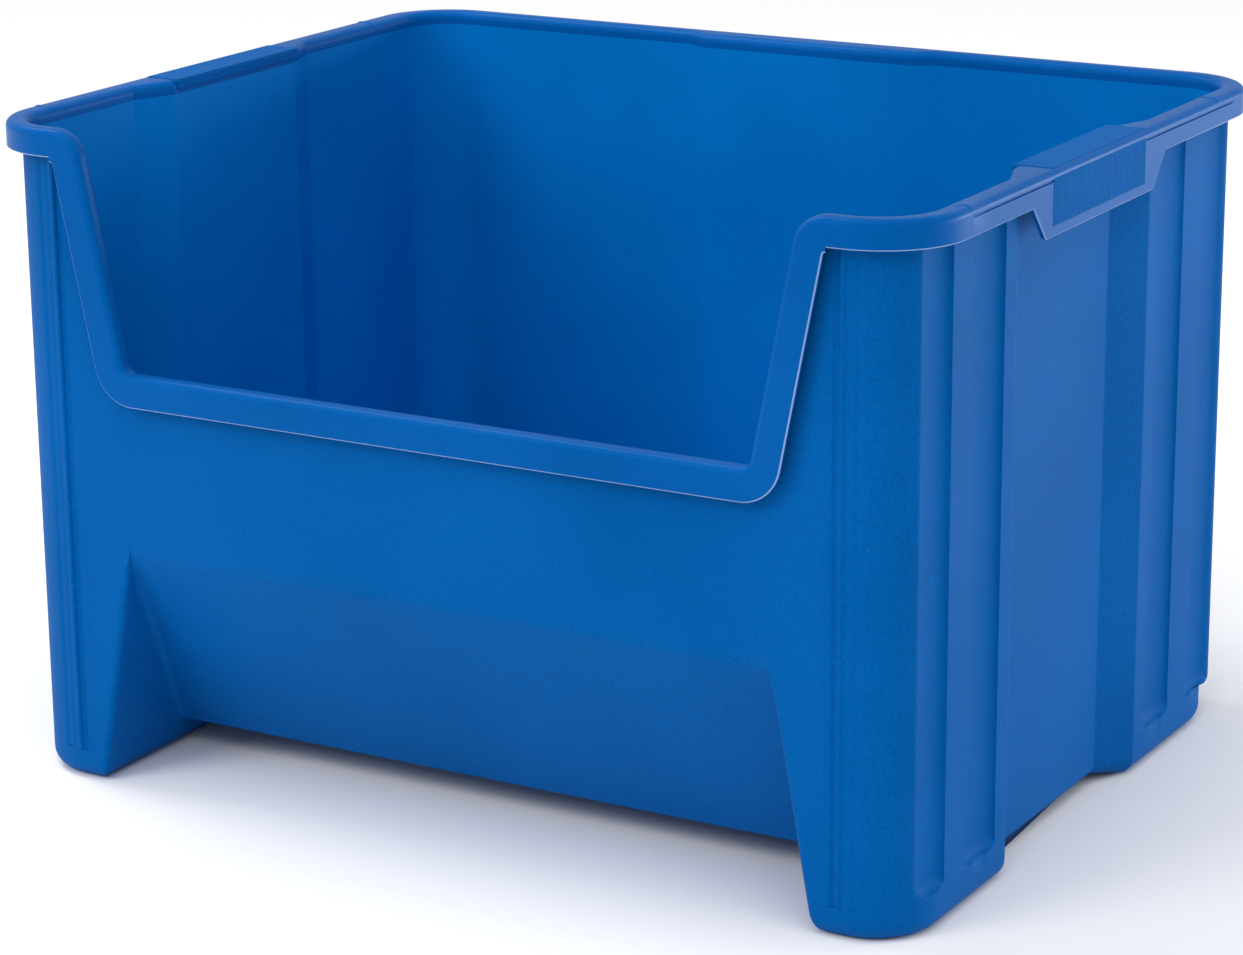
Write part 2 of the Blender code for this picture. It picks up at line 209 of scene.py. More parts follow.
# Grips
GRIP_TOP_HALF = (GRIP_HIGH.y - GRIP_LOW.y) / 2
GRIP_LOW_HALF = GRIP_TOP_HALF - 0.014
GRIP_DROP = CREST - GRIP_LOW.z
TEXTURE_FRONT = -0.0665
TEXTURE_REAR = 0.0405
TEXTURE_ABOVE = 0.0045
TEXTURE_BELOW = 0.0030
TEXTURE_BEVEL = 0.0008
TEXTURE_SUNK = 0.0004
RIB_PITCH = 0.0022
RIB_HEIGHT = 0.0008
RIB_SHAPE = ((0.12, 0.7), (0.35, 1.0), (0.6, 1.0), (0.83, 0.7), (0.97, 0.45))
PAD_HEIGHT = 0.0055
PAD_RISE = 0.0003
PAD_LONGER = 0.003
PAD_REARWARD = 0.0025
PAD_INWARD = 0.0008
PAD_EDGE_SHARE = 0.6
PAD_BEVEL = 0.0007

# Finish of the plastic
SPECULAR_TINT = (0.06, 0.42, 1.0, 1.0)
IOR = 1.45
ROUGH_SPREAD = 0.05
SHADE_SPREAD = 0.07
NOISE_LOW, NOISE_HIGH = 0.3, 0.7
BROAD_SCALE = 9.0
GRAIN_HEIGHT = 0.0004

# Stage and camera
FLOOR_SIZE = 6.0
FLOOR_GREY = 0.92
FLOOR_ROUGH = 0.9
WORLD_STRENGTH = 0.52
SUN_ENERGY = 1.25
SUN_ANGLE = math.radians(60)
CAMERA_AZIMUTH = math.radians(30.28)
CAMERA_PITCH = math.radians(16.225)
CAMERA_ROLL = math.radians(-0.52)
CAMERA_DISTANCE = 1.893
CAMERA_TARGET = Vector((-0.0092, 0.0, 0.1352))
CAMERA_LENS = 108.6
CAMERA_SENSOR = 36.0
CAMERA_FAR = 50.0


def smooth(value):
    """A soft step from 0 to 1."""
    value = min(max(value, 0.0), 1.0)
    return value * value * (3 - 2 * value)


# Outlines

def fillet(before, corner, after, radius, steps):
    """Points that round one corner of an outline; a straight corner gives evenly spaced points."""
    back = (before - corner).normalized()
    ahead = (after - corner).normalized()
    interior = back.angle(ahead)
    turn = math.pi - interior
    if turn < STRAIGHT_TURN:
        around = range(-steps // 2, steps // 2 + 1)
        return [corner + (back if step < 0 else ahead) * abs(step) * STRAIGHT_PITCH for step in around]
    if radius <= 0.0:
        return [corner.copy() for _ in range(steps + 1)]
    cut = radius * math.tan(turn / 2)
    start = corner + back * cut
    bisector = (back + ahead).normalized()
    centre = corner + bisector * (radius / math.sin(interior / 2))
    spoke = start - centre
    sign = 1 if back.x * ahead.y - back.y * ahead.x < 0 else -1
    points = []
    for step in range(steps + 1):
        angle = sign * turn * step / steps
        cosine = math.cos(angle)
        sine = math.sin(angle)
        turned = Vector((spoke.x * cosine - spoke.y * sine, spoke.x * sine + spoke.y * cosine))
        points.append(centre + turned)
    return points


def outline(start, corners, finish, spans):
    """An open path with rounded corners. corners holds (x, y, radius, steps).

    spans holds, for each straight stretch, how its inner points are placed: a count, or a list
    of fractions of the stretch.
    """
    nodes = [Vector(start)] + [Vector(corner[:2]) for corner in corners] + [Vector(finish)]
    pieces = [[nodes[0]]]
    for index, corner in enumerate(corners):
        pieces.append(fillet(nodes[index], nodes[index + 1], nodes[index + 2], corner[2], corner[3]))
    pieces.append([nodes[-1]])
    path = []
    for piece, following, span in zip(pieces, pieces[1:], spans):
        path.extend(piece)
        low, high = piece[-1], following[0]
        if isinstance(span, int):
            span = [(step + 1) / (span + 1) for step in range(span)]
        path.extend(low.lerp(high, fraction) for fraction in span)
    path.extend(pieces[-1])
    return path


def flute_centres():
    """Where along Y the middle of each flute on one side is, front to back."""
    front = [SIDE_MIDDLE - reach for reach in reversed(FLUTE_REACH)]
    return front + [SIDE_MIDDLE + reach for reach in FLUTE_REACH]


def side_fractions(low, high):
    """Fractions of a side stretch, close together where a flute's edges are."""
    values = []
    for centre in flute_centres():
        for step in range(-FLUTE_STEPS, FLUTE_STEPS + 1):
            values.append(centre + FLUTE_HALF * math.sin(math.pi / 2 * step / FLUTE_STEPS))
    for seam in SEAMS:
        values.extend(seam + SEAM_PITCH * step for step in range(-2, 3))
    inside = sorted(value for value in values if low + STRETCH_MARGIN < value < high - STRETCH_MARGIN)
    kept = []
    for value in inside:
        if not kept or value - kept[-1] > LEAST_PITCH:
            kept.append(value)
    return [(value - low) / (high - low) for value in kept]


def bump(distance, half):
    """A smooth rise from 0 at the half width to 1 in the middle."""
    return math.cos(math.pi / 2 * distance / half) ** 2 if abs(distance) < half else 0.0


def fluted(x, y, height):
    """Where the side wall's face stands once the flutes are cut, each with a bowed lower end."""
    for centre in flute_centres():
        across = (y - centre) / FLUTE_HALF
        if abs(across) < 1:
            end = FLUTE_END - FLUTE_BOW * (1 - across * across)
            run = min(max((end + FLUTE_RUN - height) / FLUTE_RUN, 0.0), 1.0)
            depth = FLUTE_DEPTH * math.sqrt(1 - across * across) * math.sqrt(1 - run * run)
            x = min(x, WALL_X - depth)
    return x


def bead_rise(along):
    """How far the bead stands out, or its grooves in, at a place along the front and its arc."""
    nearness = abs(along - BEAD_PLACE) / BEAD_HALF
    rise = BEAD_HEIGHT * math.sqrt(1 - nearness * nearness) if nearness < 1 else 0.0
    for place, half, depth in GROOVES:
        rise -= depth * bump(along - place, half)
    return rise


def relief(point, height):
    """Moves a point of the right half's outer wall for the flutes, the bead and its grooves."""
    x, y = point
    if x > TANGENT_X:
        x = fluted(x, y, height)
    if y < FRONT_Y + CORNER / 2 and point.x > TANGENT_X - BEAD_ZONE:
        spoke = point - Vector((TANGENT_X, FRONT_Y + CORNER))
        if point.x > TANGENT_X:
            along = CORNER * math.atan2(spoke.x, -spoke.y)
            outward = spoke.normalized()
        else:
            along = point.x - TANGENT_X
            outward = Vector((0.0, -1.0))
        fade = smooth((height - BEAD_FOOT) / BEAD_FADE)
        rise = bead_rise(along)
        x += outward.x * rise * fade
        y += outward.y * rise * fade
    return Vector((x, y))


# Where the rear corner's arc starts at its furthest forward, so that every level has the same points
FIXED_Y = BACK_Y - CORNER - REAR_SET_IN - 0.001
SIDE_SPAN_FRONT = side_fractions(FRONT_Y + CORNER, SIDE_MIDDLE - PANEL_REACH - STRETCH_END)
SIDE_SPAN_REAR = side_fractions(SIDE_MIDDLE + PANEL_REACH + STRETCH_END, FIXED_Y)


def side_path(out, panel, rear=0.0, inset=0.0, panel_inset=0.0, thin=0.0):
    """Plan of the right half from the front post to the middle of the back.

    out moves the wall outwards, panel moves the recessed panel outwards from the wall's face,
    rear moves the back wall forwards, the insets draw the foot in at its rounded bottom, and
    thin is how much less thick the front and back are than the columns.
    """
    side = WALL_X + out - inset
    low = WALL_X + panel - panel_inset
    front = FRONT_Y - out + inset - thin
    back = BACK_Y + out - rear - inset + thin
    radius = CORNER + out - inset
    near = SIDE_MIDDLE - PANEL_REACH
    far = SIDE_MIDDLE + PANEL_REACH
    corners = [
        (side, front, radius, ARC_STEPS),
        (side, near, PANEL_ROUND, SMALL_ARC_STEPS),
        (low, near + PANEL_SLOPE, PANEL_ROUND, SMALL_ARC_STEPS),
        (low, far - PANEL_SLOPE, PANEL_ROUND, SMALL_ARC_STEPS),
        (side, far, PANEL_ROUND, SMALL_ARC_STEPS),
        (side, FIXED_Y, 0.0, 2),
        (side, back, radius, REAR_ARC_STEPS),
    ]
    spans = [BEAD_SPAN, SIDE_SPAN_FRONT, SLOPE_SPAN, PANEL_SPAN, SLOPE_SPAN, SIDE_SPAN_REAR]
    spans += [REAR_SPAN, BACK_SPAN]
    path = outline((POST_X, front), corners, (BACK_STEP_X + BACK_STEP_RUN / 2, back), spans)
    inner_back = back - BACK_STEP if out <= 0.0 else back
    path.append(Vector((BACK_STEP_X - BACK_STEP_RUN / 2, inner_back)))
    path.append(Vector((BACK_STEP_X / 2, inner_back)))
    path.append(Vector((0.0, inner_back)))
    return path


def whole(half):
    """The closed outline of a right half that starts and ends on X = 0."""
    return half + [Vector((-point.x, point.y)) for point in half[-2:0:-1]]


def mirrored(points):
    """A right half's points in space, followed by their mirror images back to the start's side."""
    return points + [Vector((-point.x, point.y, point.z)) for point in points[-2::-1]]


def raised(path, height):
    """The plan outline at a height, as points in space."""
    return [Vector((point.x, point.y, height)) for point in path]


def front_half(height, depth_offset=0.0):
    """The front of the right half, from X = 0 across the recess and round the leg's inner edge."""
    depth = recess_depth(height)
    front = FRONT_Y + depth_offset
    inner = min(leg_inner(height) + depth_offset, POST_X - LEG_MARGIN)
    rounding = min(LEG_ROUND, ROUND_SHARE * depth)
    nook = min(NOOK_ROUND, ROUND_SHARE * depth)
    corners = [
        (inner, front + depth, nook, SMALL_ARC_STEPS),
        (inner, front, rounding, SMALL_ARC_STEPS),
    ]
    spans = [RECESS_SPAN, CHEEK_SPAN, TOE_SPAN]
    return outline((0.0, front + depth), corners, (POST_X, front), spans)[:-1]


def leg_inner(height):
    """Where a leg's inner edge stands: it leans in from the foot to the top of the recess."""
    return FOOT_HALF - CHEEK_LEAN * min(height, CREASE_Z)


def recess_depth(height):
    """How far the recess panel stands behind the front wall, softly rounded at the crease.

    The tiny depth that is left above the crease keeps every outline's corners apart.
    """
    pitch = RECESS / CREASE_Z
    below = (CREASE_Z - height) / CREASE_SOFT
    if below > SOFT_LIMIT:
        return pitch * (CREASE_Z - height)
    return pitch * CREASE_SOFT * math.log1p(math.exp(below)) + FLAT_DEPTH


# Meshes

def stitch(shape, rows, closed, finishes):
    """Adds quads between consecutive rows of points, each row with the same count.

    finishes gives the material of each band, or one material for them all.
    """
    grid = [[shape.verts.new(point) for point in row] for row in rows]
    count = len(grid[0])
    last = count if closed else count - 1
    for band, (lower, upper) in enumerate(zip(grid, grid[1:])):
        finish = finishes if isinstance(finishes, int) else finishes[band]
        for index in range(last):
            after = (index + 1) % count
            face = shape.faces.new((lower[index], lower[after], upper[after], upper[index]))
            face.material_index = finish
    return grid


def plate(shape, points, finish):
    """Adds one flat face."""
    face = shape.faces.new([shape.verts.new(point) for point in points])
    face.material_index = finish


def finish_mesh(shape, name):
    """Turns the built shape into a smooth object whose sharp edges stay sharp."""
    bmesh.ops.remove_doubles(shape, verts=shape.verts, dist=MERGE_DISTANCE)
    bmesh.ops.dissolve_degenerate(shape, edges=shape.edges, dist=LEAST_EDGE)
    mesh = bpy.data.meshes.new(name)
    shape.to_mesh(mesh)
    shape.free()
    mesh.shade_smooth()
    mesh.set_sharp_from_angle(angle=SHARP_ANGLE)
    item = bpy.data.objects.new(name, mesh)
    bpy.context.scene.collection.objects.link(item)
    return item


def crease_levels(below, above, steps):
    """Evenly spaced heights across the top of the recess."""
    return [CREASE_Z - below + (below + above) * step / steps for step in range(steps + 1)]


def outer_rows():
    """Levels of the outer wall from the floor to where the front opening splits it.

    Each is a height and how far the back is set in there, for the ledge over the rear feet.
    """
    rows = [
        (FLOOR_LOW, REAR_SET_IN),
        (LEDGE_Z - LEDGE_SOFT, REAR_SET_IN),
        (LEDGE_Z, REAR_SET_IN - LEDGE_SOFT),
        (LEDGE_Z, LEDGE_ROUND),
        (LEDGE_Z + LEDGE_SOFT, LEDGE_KNEE),
        (LEDGE_Z + LEDGE_ROUND, 0.0),
    ]
    levels = []
    for step in range(1, FLUTE_FOOT_STEPS + 1):
        share = (step / FLUTE_FOOT_STEPS) ** FLUTE_FOOT_CROWDING
        levels.append(LEDGE_Z + LEDGE_ROUND + FLUTE_FOOT * share)
    levels.extend(OUTER_LEVELS)
    levels.extend(crease_levels(0.010, 0.010, CREASE_STEPS))
    levels.extend(OUTER_HIGH_LEVELS)
    return rows + [(height, 0.0) for height in levels]


def build_outer_body(shape):
    """Outer wall and recess from the floor's level to the split."""
    rows = []
    for height, rear in outer_rows():
        wall = [relief(point, height) for point in side_path(0.0, -PANEL_DEPTH, rear)]
        rows.append(raised(whole(front_half(height) + wall), height))
    stitch(shape, rows, True, GRAINED)


def panel_lift(point, height):
    """The side panels end a little above the ground, and slope down to the feet."""
    share = (PANEL_REACH - abs(point.y - SIDE_MIDDLE)) / PANEL_SLOPE
    low = PANEL_LOW.z * min(max(share, 0.0), 1.0)
    return low + (FLOOR_LOW - low) * height / FLOOR_LOW


def foot_rows():
    """Height and inset of each level of a foot rail, whose bottom edge is rounded."""
    rows = []
    for step in range(FOOT_STEPS + 1):
        angle = math.radians(90 * (1 - step / FOOT_STEPS))
        rows.append((FOOT_ROUND * (1 - math.sin(angle)), FOOT_ROUND * (1 - math.cos(angle))))
    rows.append((FLOOR_LOW, 0.0))
    return rows


def foot_outline(height, inset):
    """Closed plan of the right foot rail, from the middle of its inner edge round the outside."""
    inner = leg_inner(height) + inset
    front = FRONT_Y + inset
    rear = BACK_Y - REAR_SET_IN - inset
    rounding = max(LEG_ROUND - inset, 0.0)
    front_corner = (inner, front, rounding, SMALL_ARC_STEPS)
    rear_corner = (inner, rear, rounding, SMALL_ARC_STEPS)
    panel_inset = inset * FOOT_PANEL_SHARE
    wall = side_path(0.0, -PANEL_DEPTH, REAR_SET_IN, inset=inset, panel_inset=panel_inset)
    wall = [point for point in wall if point.x > POST_X - NEAR or point.y < 0]
    start = outline((inner, 0.0), [front_corner], (POST_X, front), [FOOT_SPAN, TOE_SPAN])[:-1]
    end = outline((POST_X, rear), [rear_corner], (inner, 0.0), [TOE_SPAN, FOOT_SPAN])[1:]
    return start + wall + end


def build_feet(shape):
    """The two foot rails, from the ground to the floor's level."""
    for sign in (1, -1):
        loops = []
        for height, inset in foot_rows():
            path = foot_outline(height, inset)
            loops.append([Vector((sign * point.x, point.y, panel_lift(point, height))) for point in path])
        grid = stitch(shape, loops, True, GRAINED)
        shape.faces.new(grid[0])


def build_floor_underside(shape):
    """Flat underside of the floor between the foot rails."""
    inner = leg_inner(FLOOR_LOW)
    front = FRONT_Y + recess_depth(FLOOR_LOW)
    back = BACK_Y - REAR_SET_IN
    points = [(-inner, front), (inner, front), (inner, back), (-inner, back)]
    plate(shape, [(x, y, FLOOR_LOW) for x, y in points], GRAINED)


def grip_skirt(y):
    """Bottom of the rim's skirt: deeper at the grip, with slanted ends."""
    reach = abs(y - SIDE_MIDDLE)
    share = min(max((GRIP_TOP_HALF - reach) / (GRIP_TOP_HALF - GRIP_LOW_HALF), 0.0), 1.0)
    return CREST - SKIRT - (GRIP_DROP - SKIRT) * share


def rim_profile():
    """(out, height, panel out, thin) of the rim from the inner wall over the crest to its edge."""
    inside = -COLUMN_SHEET
    panel_inside = -PANEL_DEPTH - WALL
    rows = []
    for step in range(ROLL_STEPS + 1):
        angle = math.radians(90 * step / ROLL_STEPS)
        shift = ROLL * (1 - math.cos(angle))
        rows.append((inside + shift, CREST - ROLL + ROLL * math.sin(angle), panel_inside + shift, THIN))
    bend = OVERHANG - EDGE
    rows.append((bend / 2, CREST, bend / 2 - PANEL_DIP, 0.0))
    for step in range(EDGE_STEPS + 1):
        angle = math.radians(90 - 90 * step / EDGE_STEPS)
        out = bend + EDGE * math.cos(angle)
        rows.append((out, CREST - EDGE + EDGE * math.sin(angle), out, 0.0))
    return rows


def groove_share(point):
    """The shallow groove under the crest runs along the sides, but not over the grips' ribs."""
    if point.x < WALL_X or TEXTURE_FRONT < point.y < TEXTURE_REAR:
        return 0.0
    front = smooth((point.y - SEAMS[0]) / GROOVE_FADE)
    return front * smooth((SEAMS[1] + GROOVE_PAST_SEAM - point.y) / GROOVE_FADE)


def seam_share(point):
    """Faint raised seams across the rim."""
    if point.x < WALL_X - SEAM_ACROSS:
        return 0.0
    return sum(bump(point.y - seam, SEAM_HALF) for seam in SEAMS)


def build_upper_shell(shape):
    """Inner wall, rim and outer wall of the sides and back above the split."""
    rows = []
    finishes = []

    def add(out, panel, heights, finish, flutes=False, thin=0.0, groove=0.0, seam=0.0):
        """One row of points, at a height or at a height that follows Y, and the finish above it."""
        finishes.append(finish)
        path = side_path(out, panel, thin=thin)
        if flutes:
            path = [relief(point, SPLIT_Z) for point in path]
        points = []
        for point in path:
            height = heights(point.y) if callable(heights) else heights
            x = point.x - groove * groove_share(point)
            points.append(Vector((x, point.y, height + seam * seam_share(point))))
        rows.append(mirrored(points))

    add(-COLUMN_SHEET, -PANEL_DEPTH - WALL, SPLIT_Z, PAINTED_LIGHT_LINING, thin=THIN)
    add(-COLUMN_SHEET, -PANEL_DEPTH - WALL, CREST - ROLL_JOIN, SATIN, thin=THIN)
    for out, height, panel, thin in rim_profile():
        add(out, panel, height, SATIN, thin=thin, seam=SEAM_RISE)
    face = OVERHANG
    hidden = OVERHANG - SHEET
    for drop, share in GROOVE_ROWS:
        add(face, face, CREST - EDGE - drop, SATIN, groove=GROOVE_DEPTH * share)
    # The chamfer along the skirt's bottom gets the pale blue painted highlight.
    add(face, face, lambda y: grip_skirt(y) + CHAMFER, PAINTED_EDGE_HIGHLIGHT)
    add(face - CHAMFER, face - CHAMFER, grip_skirt, SATIN)
    add(hidden + CHAMFER, hidden + CHAMFER, grip_skirt, SATIN)
    add(hidden, hidden, lambda y: grip_skirt(y) + CHAMFER, SATIN)
    add(hidden, hidden, CREST - SHEET, SATIN)
    for height in (CREST - SHEET, UPPER_LEVEL, SPLIT_Z):
        add(0.0, -PANEL_DEPTH, height, GRAINED, flutes=True)
    stitch(shape, rows, False, finishes)


def build_inner_body(shape):
    """Inner wall below the split, with a rounded join to the floor, and the floor itself."""
    levels = []
    for step in range(ROLL_STEPS + 1):
        angle = math.radians(90 * step / ROLL_STEPS)
        levels.append((FLOOR_TOP + FLOOR_JOIN * (1 - math.cos(angle)), FLOOR_JOIN * (1 - math.sin(angle))))
    heights = INNER_LEVELS + tuple(crease_levels(0.006, 0.008, INNER_CREASE_STEPS)) + INNER_HIGH_LEVELS
    levels += [(height, 0.0) for height in heights]
    rows = []
    for height, inset in levels:
        wall = side_path(-COLUMN_SHEET - inset, -PANEL_DEPTH - WALL - inset, thin=THIN)
        rows.append(raised(whole(front_half(height, WALL + inset) + wall), height))
    grid = stitch(shape, rows, True, PAINTED_LIGHT_LINING)
    floor = shape.faces.new(grid[0])
    floor.material_index = PAINTED_LIGHT_LINING


# Lip round the opening

def opening_half(height):
    """Half the opening's width at a height."""
    return OPENING_HALF + (height - OPENING_LOW) * OPENING_LEAN


def lip_stations():
    """(x, z, away angle) along the opening's edge, right half, from the rim down to X = 0."""
    lean = math.atan(OPENING_LEAN)
    high_z = CREST - SHOULDER
    high_x = opening_half(high_z) + SHOULDER / math.cos(lean)
    low_x = OPENING_HALF - OPENING_CORNER * math.tan((math.pi / 2 - lean) / 2)
    low_z = OPENING_LOW + OPENING_CORNER
    stations = [(POST_X, CREST, -math.pi / 2)]
    sweep = math.pi / 2 - lean
    for step in range(LIP_STEPS + 1):
        angle = math.pi / 2 + sweep * step / LIP_STEPS
        x = high_x + SHOULDER * math.cos(angle)
        stations.append((x, high_z + SHOULDER * math.sin(angle), angle - math.pi))
    for step in range(LIP_STEPS + 1):
        angle = -lean - sweep * step / LIP_STEPS
        x = low_x + OPENING_CORNER * math.cos(angle)
        stations.append((x, low_z + OPENING_CORNER * math.sin(angle), angle))
    stations.append((0.0, OPENING_LOW, -math.pi / 2))
    return stations


def lip_skirt():
    """(back from the front face, away from the opening) of the lip's hanging skirt."""
    return [
        (0.0, LIP_FACE - CHAMFER),
        (CHAMFER, LIP_FACE),
        (SHEET - CHAMFER, LIP_FACE),
        (SHEET, LIP_FACE - CHAMFER),
        (SHEET, SHEET),
        (OVERHANG, SHEET),
    ]


def lip_section():
    """The lip's section from the inner wall over the crest, without the skirt."""
    section = [(RIM_INNER, ROLL_JOIN)]
    section += [(OVERHANG - out - thin, CREST - height) for out, height, _, thin in rim_profile()]
    return section


def build_lip(shape):
    """The rim's section swept along the opening's edge."""
    crest = lip_section()
    rows = []
    for back, away in crest + lip_skirt():
        right = []
        for x, z, angle in lip_stations():
            side = x + away * math.cos(angle)
            right.append(Vector((side, -HALF_DEPTH + back, z + away * math.sin(angle))))
        rows.append(mirrored(right))
    finishes = [SATIN] * (len(rows) - 1)
    finishes[0] = PAINTED_LIGHT_LINING
    # The chamfer along the lip's free edge gets the pale blue painted highlight.
    finishes[len(crest)] = PAINTED_EDGE_HIGHLIGHT
    stitch(shape, rows, False, finishes)


def opening_edge(away):
    """Right half of the opening's edge moved away from the opening, from X = 0 up to the rim."""
    points = []
    for x, z, angle in reversed(lip_stations()):
        points.append((x + away * math.cos(angle), z + away * math.sin(angle)))
    return points


def build_front_plates(shape):
    """Flat outer and inner faces of the front wall round the opening."""
    for y, away, finish in ((FRONT_Y, SHEET, GRAINED), (FRONT_Y + WALL, ROLL_JOIN, PAINTED_LIGHT_LINING)):
        edge = opening_edge(away)
        edge = [(x, z) for x, z in edge if x < POST_X - NEAR]
        top = CREST - away
        right = edge + [(POST_X, top), (POST_X, SPLIT_Z), (0.0, SPLIT_Z)]
        plate(shape, [(x, y, z) for x, z in right], finish)
        plate(shape, [(-x, y, z) for x, z in reversed(right)], finish)


def build_skin():
    """The whole moulding as one object."""
    shape = bmesh.new()
    build_outer_body(shape)
    build_feet(shape)
    build_floor_underside(shape)
    build_upper_shell(shape)
    build_inner_body(shape)
    build_lip(shape)
    build_front_plates(shape)
    return finish_mesh(shape, "bin_skin")


# Grips

def build_pad(side, sign):
    """Raised stacking pad on the grip, with soft edges."""
    low_x = WALL_X - PANEL_DEPTH - WALL - PAD_INWARD
    high_x = HALF_WIDTH - EDGE * PAD_EDGE_SHARE
    shape = bmesh.new()
    bmesh.ops.create_cube(shape, size=1.0)
    size = (high_x - low_x, PAD_HIGH.y - PAD_LOW.y + PAD_LONGER, PAD_HEIGHT)
    bmesh.ops.scale(shape, verts=shape.verts, vec=size)
    centre = (sign * (low_x + high_x) / 2, SIDE_MIDDLE + PAD_REARWARD, CREST + PAD_RISE - PAD_HEIGHT / 2)
    bmesh.ops.translate(shape, verts=shape.verts, vec=centre)
    bmesh.ops.bevel(shape, geom=shape.edges[:], offset=PAD_BEVEL, segments=3, affect="EDGES")
    return finish_mesh(shape, side + "_pad")


def build_texture_plate(side, sign):
    """Fine upright ribs moulded on the grip's outer face."""
    shape = bmesh.new()
    count = int((TEXTURE_REAR - TEXTURE_FRONT) / RIB_PITCH)
    low = CREST - GRIP_DROP + TEXTURE_ABOVE
    high = CREST - TEXTURE_BELOW
    base = HALF_WIDTH - TEXTURE_SUNK
    rows = []
    for height, share in ((low, 0.0), (low + TEXTURE_BEVEL, 1.0), (high - TEXTURE_BEVEL, 1.0), (high, 0.0)):
        row = [Vector((sign * base, TEXTURE_FRONT, height))]
        for index in range(count):
            start = TEXTURE_FRONT + RIB_PITCH * index
            for fraction, rise in RIB_SHAPE:
                sunk = TEXTURE_SUNK / 2 * (1 - share)
                out = HALF_WIDTH + (RIB_HEIGHT * rise - TEXTURE_SUNK) * share - sunk
                row.append(Vector((sign * out, start + RIB_PITCH * fraction, height)))
        row.append(Vector((sign * base, TEXTURE_REAR, height)))
        rows.append(row)
    stitch(shape, rows, False, 0)
    bmesh.ops.recalc_face_normals(shape, faces=shape.faces)
    return finish_mesh(shape, side + "_grip_ribs")


# Materials

def add_noise(tree, place, scale, detail):
    """A noise pattern fixed to the object."""
    noise = tree.nodes.new("ShaderNodeTexNoise")
    noise.inputs["Scale"].default_value = scale
    noise.inputs["Detail"].default_value = detail
    tree.links.new(place.outputs["Object"], noise.inputs["Vector"])
    return noise


def add_spread(tree, noise, middle, spread):
    """A value that follows the noise from middle - spread to middle + spread."""
    node = tree.nodes.new("ShaderNodeMapRange")
    node.inputs["From Min"].default_value = NOISE_LOW
    node.inputs["From Max"].default_value = NOISE_HIGH
    node.inputs["To Min"].default_value = middle - spread
    node.inputs["To Max"].default_value = middle + spread
    tree.links.new(noise.outputs["Fac"], node.inputs["Value"])
    return node


def plastic(name, colour, rough, gloss, grain, grain_scale, speckle):
    """Moulded plastic: broad shade changes, fine speckle, and a grained or nearly smooth surface."""
    material = bpy.data.materials.new(name)
    material.use_nodes = True
    tree = material.node_tree
    shader = tree.nodes["Principled BSDF"]
    shader.inputs["IOR"].default_value = IOR
    shader.inputs["Specular IOR Level"].default_value = gloss
    shader.inputs["Specular Tint"].default_value = SPECULAR_TINT
    place = tree.nodes.new("ShaderNodeTexCoord")
    fine = add_noise(tree, place, grain_scale, 3.0)
    fine.inputs["Roughness"].default_value = 0.65
    broad = add_noise(tree, place, BROAD_SCALE, 4.0)
    shades = tree.nodes.new("ShaderNodeValToRGB")
    dark, light = shades.color_ramp.elements
    dark.position = NOISE_LOW
    light.position = NOISE_HIGH
    dark.color = (*(channel * (1 - SHADE_SPREAD) for channel in colour), 1.0)
    light.color = (*(channel * (1 + SHADE_SPREAD) + 0.001 for channel in colour), 1.0)
    flecks = add_spread(tree, fine, 1.0, speckle)
    tint = tree.nodes.new("ShaderNodeVectorMath")
    tint.operation = "SCALE"
    sheen = add_spread(tree, fine, rough, ROUGH_SPREAD)
    grains = tree.nodes.new("ShaderNodeBump")
    grains.inputs["Strength"].default_value = grain
    grains.inputs["Distance"].default_value = GRAIN_HEIGHT
    tree.links.new(broad.outputs["Fac"], shades.inputs["Fac"])
    tree.links.new(shades.outputs["Color"], tint.inputs[0])
    tree.links.new(flecks.outputs["Result"], tint.inputs["Scale"])
    tree.links.new(tint.outputs["Vector"], shader.inputs["Base Color"])
    tree.links.new(sheen.outputs["Result"], shader.inputs["Roughness"])
    tree.links.new(fine.outputs["Fac"], grains.inputs["Height"])
    tree.links.new(grains.outputs["Normal"], shader.inputs["Normal"])
    return material


# Stage

def aim(item, target):
    """Turns a light towards a point."""
    direction = Vector(target) - item.location
    item.rotation_euler = direction.to_track_quat("-Z", "Y").to_euler()


def add_light(name, place, target, width, height, power):
    """A rectangular soft light."""
    data = bpy.data.lights.new(name, "AREA")
    data.shape = "RECTANGLE"
    data.size = width
    data.size_y = height
    data.energy = power
    lamp = bpy.data.objects.new(name, data)
    lamp.location = place
    aim(lamp, target)
    bpy.context.scene.collection.objects.link(lamp)


def add_sun():
    """Broad light from the front and above, as from a large window."""
    data = bpy.data.lights.new("sky", "SUN")
    data.energy = SUN_ENERGY
    data.angle = SUN_ANGLE
    lamp = bpy.data.objects.new("sky", data)
    lamp.location = (0.5, -1.1, 2.4)
    aim(lamp, (0.0, 0.0, 0.0))
    bpy.context.scene.collection.objects.link(lamp)


def build_floor():
    """The plain pale floor."""
    shape = bmesh.new()
    bmesh.ops.create_grid(shape, x_segments=1, y_segments=1, size=FLOOR_SIZE)
    mesh = bpy.data.meshes.new("studio_floor")
    shape.to_mesh(mesh)
    shape.free()
    floor = bpy.data.objects.new("studio_floor", mesh)
    bpy.context.scene.collection.objects.link(floor)
    material = bpy.data.materials.new("studio_white")
    material.use_nodes = True
    shader = material.node_tree.nodes["Principled BSDF"]
    shader.inputs["Base Color"].default_value = (FLOOR_GREY, FLOOR_GREY, FLOOR_GREY, 1.0)
    shader.inputs["Roughness"].default_value = FLOOR_ROUGH
    mesh.materials.append(material)


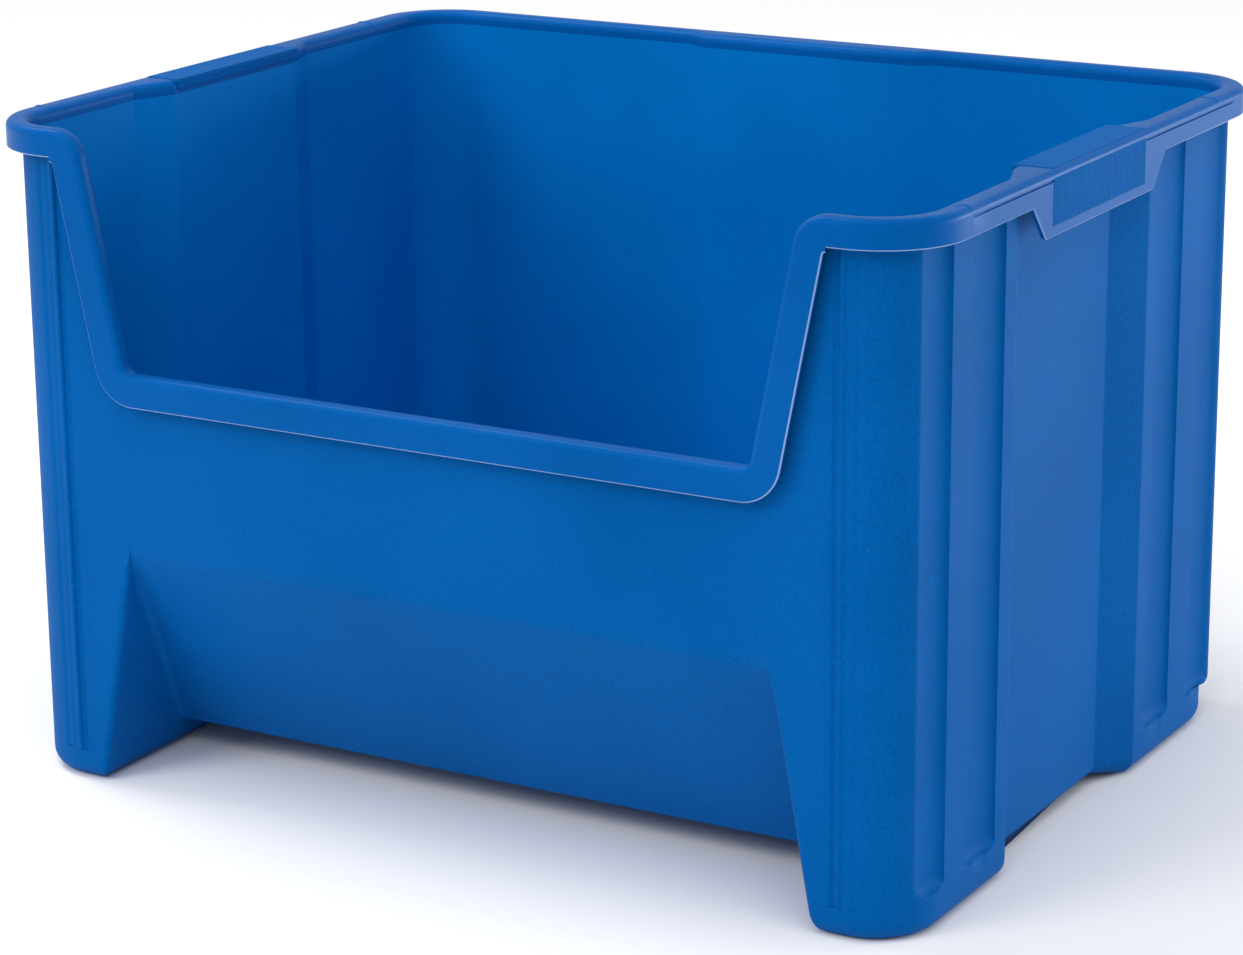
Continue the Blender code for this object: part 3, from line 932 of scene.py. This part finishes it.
def build_stage():
    """Floor, white surroundings and soft lights."""
    build_floor()
    world = bpy.data.worlds.new("studio")
    world.use_nodes = True
    background = world.node_tree.nodes["Background"]
    background.inputs["Color"].default_value = (1.0, 1.0, 1.0, 1.0)
    background.inputs["Strength"].default_value = WORLD_STRENGTH
    bpy.context.scene.world = world
    bpy.context.scene.view_settings.view_transform = "Standard"
    add_light("key", (2.1, 2.0, 0.40), (0.2, 0.0, 0.15), width=1.6, height=0.6, power=38)
    add_light("fill", (-1.3, -2.6, 1.9), (0.0, 0.0, 0.15), width=1.4, height=1.2, power=30)
    add_light("top", (-1.5, 0.0, 2.4), (0.0, 0.0, 0.25), width=0.9, height=1.4, power=26)
    add_sun()


def build_camera():
    """A long lens from the front and the right, looking slightly down, with a slight roll."""
    cos_azimuth = math.cos(CAMERA_AZIMUTH)
    sin_azimuth = math.sin(CAMERA_AZIMUTH)
    level = math.cos(CAMERA_PITCH)
    look = Vector((-sin_azimuth * level, cos_azimuth * level, -math.sin(CAMERA_PITCH)))
    right = Vector((cos_azimuth, sin_azimuth, 0.0))
    up = right.cross(look)
    turned_right = right * math.cos(CAMERA_ROLL) + up * math.sin(CAMERA_ROLL)
    turned_up = up * math.cos(CAMERA_ROLL) - right * math.sin(CAMERA_ROLL)
    data = bpy.data.cameras.new("camera")
    data.sensor_width = CAMERA_SENSOR
    data.lens = CAMERA_LENS
    data.clip_end = CAMERA_FAR
    camera = bpy.data.objects.new("camera", data)
    rotation = Matrix((turned_right, turned_up, -look)).transposed().to_4x4()
    camera.matrix_world = Matrix.Translation(CAMERA_TARGET - look * CAMERA_DISTANCE) @ rotation
    bpy.context.scene.collection.objects.link(camera)
    bpy.context.scene.camera = camera


def main():
    """Builds everything, ties each piece to its body and hides the CAD parts it stands in for."""
    build_camera()
    build_stage()
    grained = plastic("grained_blue", (0.0, 0.096, 0.350), rough=0.58, gloss=0.08, grain=0.45,
                      grain_scale=800.0, speckle=0.16)
    satin = plastic("satin_blue", (0.0, 0.090, 0.345), rough=0.36, gloss=0.14, grain=0.03,
                    grain_scale=300.0, speckle=0.03)
    # The lining is the same blue plastic painted lighter, painted light that stands in for light missing
    # inside the bin.
    painted_light_lining = plastic("painted_light_lining_blue", (0.0, 0.168, 0.520), rough=0.42, gloss=0.15, grain=0.08,
                     grain_scale=500.0, speckle=0.03)
    # Pale blue painted highlight for the bottom chamfers of the skirts and the lip.
    edge = plastic("painted_highlight_blue", (0.26, 0.38, 0.68), rough=0.30, gloss=0.50, grain=0.02,
                   grain_scale=300.0, speckle=0.03)
    skin = build_skin()
    for material in (grained, satin, painted_light_lining, edge):
        skin.data.materials.append(material)
    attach(skin, "root")
    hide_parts(*[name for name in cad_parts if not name.endswith("pad")])
    for side, sign in (("right", 1), ("left", -1)):
        pad = build_pad(side, sign)
        pad.data.materials.append(grained)
        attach(pad, "root")
        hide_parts(side + "_stacking_pad")
        ribs = build_texture_plate(side, sign)
        ribs.data.materials.append(grained)
        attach(ribs, "root")


main()
